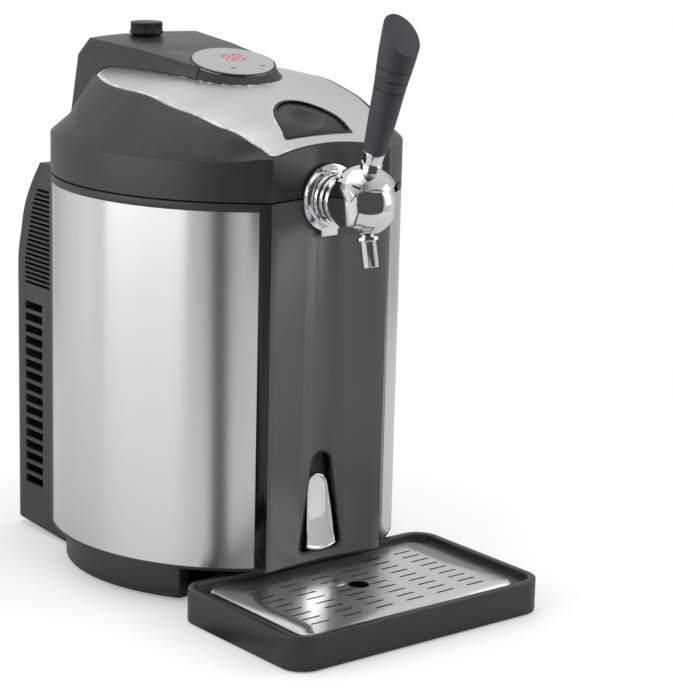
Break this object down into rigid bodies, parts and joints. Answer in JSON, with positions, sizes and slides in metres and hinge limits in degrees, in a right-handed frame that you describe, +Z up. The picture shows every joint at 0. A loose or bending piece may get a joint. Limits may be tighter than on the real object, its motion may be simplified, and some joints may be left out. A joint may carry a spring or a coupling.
{
  "type": "mini keg beer dispenser",
  "caption": "Cooled table-top beer dispenser for a party keg, with a hinged lid, a lever tap with tall grip, a display console and a sliding drip tray.",
  "frame": {"origin": "middle of the footprint, on the table", "axes": "+Z up, -Y towards the tap and the drip tray, X across"},
  "size_m": [0.284, 0.445, 0.4779],
  "materials": {
    "black_satin": "satin",
    "black_gloss": "gloss",
    "black_trim": "matte",
    "steel_brushed": "brushed",
    "chrome": "polished",
    "steel_plain": "plain",
    "aluminium_plain": "milled",
    "grip_dark": "soft touch",
    "lens_tint": "gloss",
    "disc_silver": "satin",
    "rubber_black": "matte",
    "foam_white": "foam",
    "liner_white": "satin",
    "board_green": "satin",
    "ceramic_white": "matte",
    "brass_plain": "plain"
  },
  "bodies": {
    "cabinet": {"base_plinth": "black_satin", "base_floor": "black_satin", "base_cover": "black_satin", "base_screws": "steel_plain", "rubber_feet": "rubber_black", "side_panel_left": "steel_brushed", "side_panel_right": "steel_brushed", "body_shell": "black_satin", "front_panel": "black_gloss", "opener_liner": "black_trim", "bottle_opener": "chrome", "chamber_liner": "liner_white", "chamber_deck": "liner_white", "keg_pad": "rubber_black", "insulation_foam": "foam_white", "cold_block": "aluminium_plain", "peltier_cell": "ceramic_white", "heat_sink": "aluminium_plain", "fan_frame": "black_satin", "fan_screws": "steel_plain", "rear_housing": "black_satin", "mains_inlet": "black_trim", "switch_frame": "black_trim", "power_board": "board_green", "hinge_pins": "steel_plain", "tap_flange": "chrome", "tap_body": "chrome", "pivot_pin": "steel_plain", "tap_spout": "chrome", "shank_nut": "brass_plain"},
    "fan": {"fan_rotor": "black_satin"},
    "rocker": {"power_rocker": "black_gloss"},
    "lid": {"lid_shell": "black_satin", "lid_top_plate": "steel_brushed", "lid_console": "black_satin", "lid_liner": "liner_white", "lid_insulation": "foam_white", "lid_seal": "rubber_black", "display_plate": "disc_silver", "display_lens": "lens_tint", "display_board": "board_green", "latch_bezel": "black_trim", "regulator_body": "brass_plain", "hook_pivot": "steel_plain"},
    "latch": {"latch_button": "black_satin"},
    "hook": {"latch_hook": "steel_plain"},
    "knob": {"pressure_knob": "black_satin"},
    "lever": {"lever_stem": "steel_plain", "lever_hood": "chrome", "handle_ferrule": "chrome", "handle_grip": "grip_dark"},
    "valve": {"valve_rod": "steel_plain"},
    "tray": {"drip_tray": "black_satin"},
    "grille": {"drip_grille": "steel_brushed"}
  },
  "joints": [
    {"name": "fan_spin", "type": "hinge", "parent": "cabinet", "child": "fan", "pos_m": [0, 0.1935, 0.155], "axis": [0, 1, 0], "continuous": true},
    {"name": "rocker_tip", "type": "hinge", "parent": "cabinet", "child": "rocker", "pos_m": [-0.052, 0.21635, 0.03], "axis": [0, 0, 1], "range_deg": [-9.4, 0]},
    {"name": "lid_hinge", "type": "hinge", "parent": "cabinet", "child": "lid", "pos_m": [0, 0.1925, 0.333], "axis": [-1, 0, 0], "range_deg": [0, 85]},
    {"name": "latch_press", "type": "hinge", "parent": "lid", "child": "latch", "pos_m": [0, -0.0377, 0.39204], "axis": [1, 0, 0], "range_deg": [0, 4], "stiffness_Nm_per_rad": 0.8, "springref_deg": -2.86},
    {"name": "hook_swing", "type": "hinge", "parent": "lid", "child": "hook", "pos_m": [0, -0.078, 0.352], "axis": [-1, 0, 0], "range_deg": [0, 4]},
    {"name": "knob_turn", "type": "hinge", "parent": "lid", "child": "knob", "pos_m": [0, 0.1625, 0.43], "axis": [0, 0, 1], "range_deg": [0, 270]},
    {"name": "tap_lever", "type": "hinge", "parent": "cabinet", "child": "lever", "pos_m": [0, -0.132, 0.3309], "axis": [1, 0, 0], "range_deg": [-17, 14]},
    {"name": "valve_slide", "type": "slide", "parent": "cabinet", "child": "valve", "axis": [0, 1, 0], "range_m": [-0.003, 0.003]},
    {"name": "tray_slide", "type": "slide", "parent": "cabinet", "child": "tray", "axis": [0, -1, 0], "range_m": [0, 0.15]},
    {"name": "grille_tip", "type": "hinge", "parent": "tray", "child": "grille", "pos_m": [0, -0.0808, 0.0239], "axis": [-1, 0, 0], "range_deg": [0, 22]}
  ],
  "couplings": [
    {"joint": "hook_swing", "follows": "latch_press", "ratio": 1},
    {"joint": "valve_slide", "follows": "tap_lever", "m_per_rad": 0.008}
  ]
}
